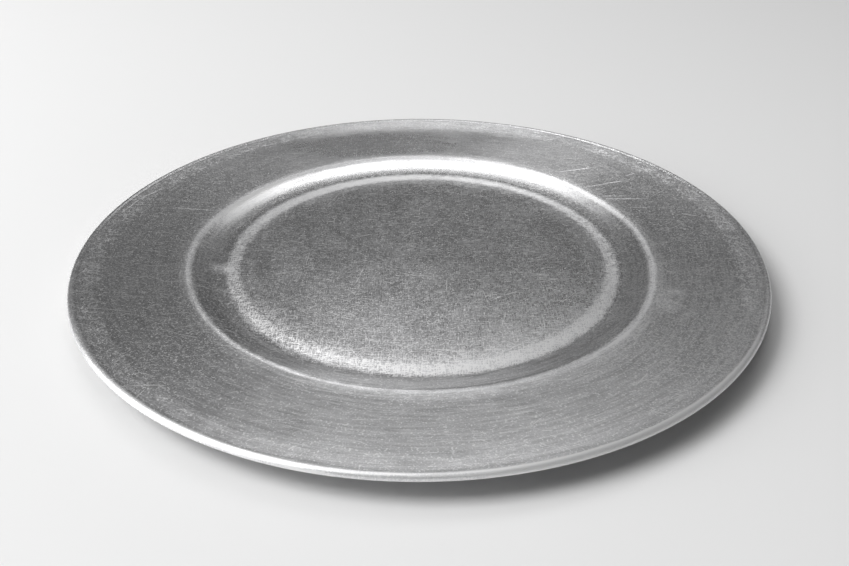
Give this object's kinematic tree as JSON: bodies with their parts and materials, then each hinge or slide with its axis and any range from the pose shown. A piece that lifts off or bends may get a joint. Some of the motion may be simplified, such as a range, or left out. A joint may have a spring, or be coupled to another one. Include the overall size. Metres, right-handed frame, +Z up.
{
  "type": "charger plate",
  "caption": "Round silver charger plate: a shallow flat-bottomed well in a wide, gently rising rim with a rolled-looking round edge, on a low foot ring.",
  "frame": {"origin": "centre of the circle on which the foot ring stands", "axes": "+Z up along the plate's axis of revolution, from the foot to the well; +X and +Y lie in the plane of the table"},
  "size_m": [0.33, 0.33, 0.0133],
  "materials": {
    "silver_finish": "satin"
  },
  "bodies": {
    "root": {"charger_plate": "silver_finish"}
  },
  "joints": []
}
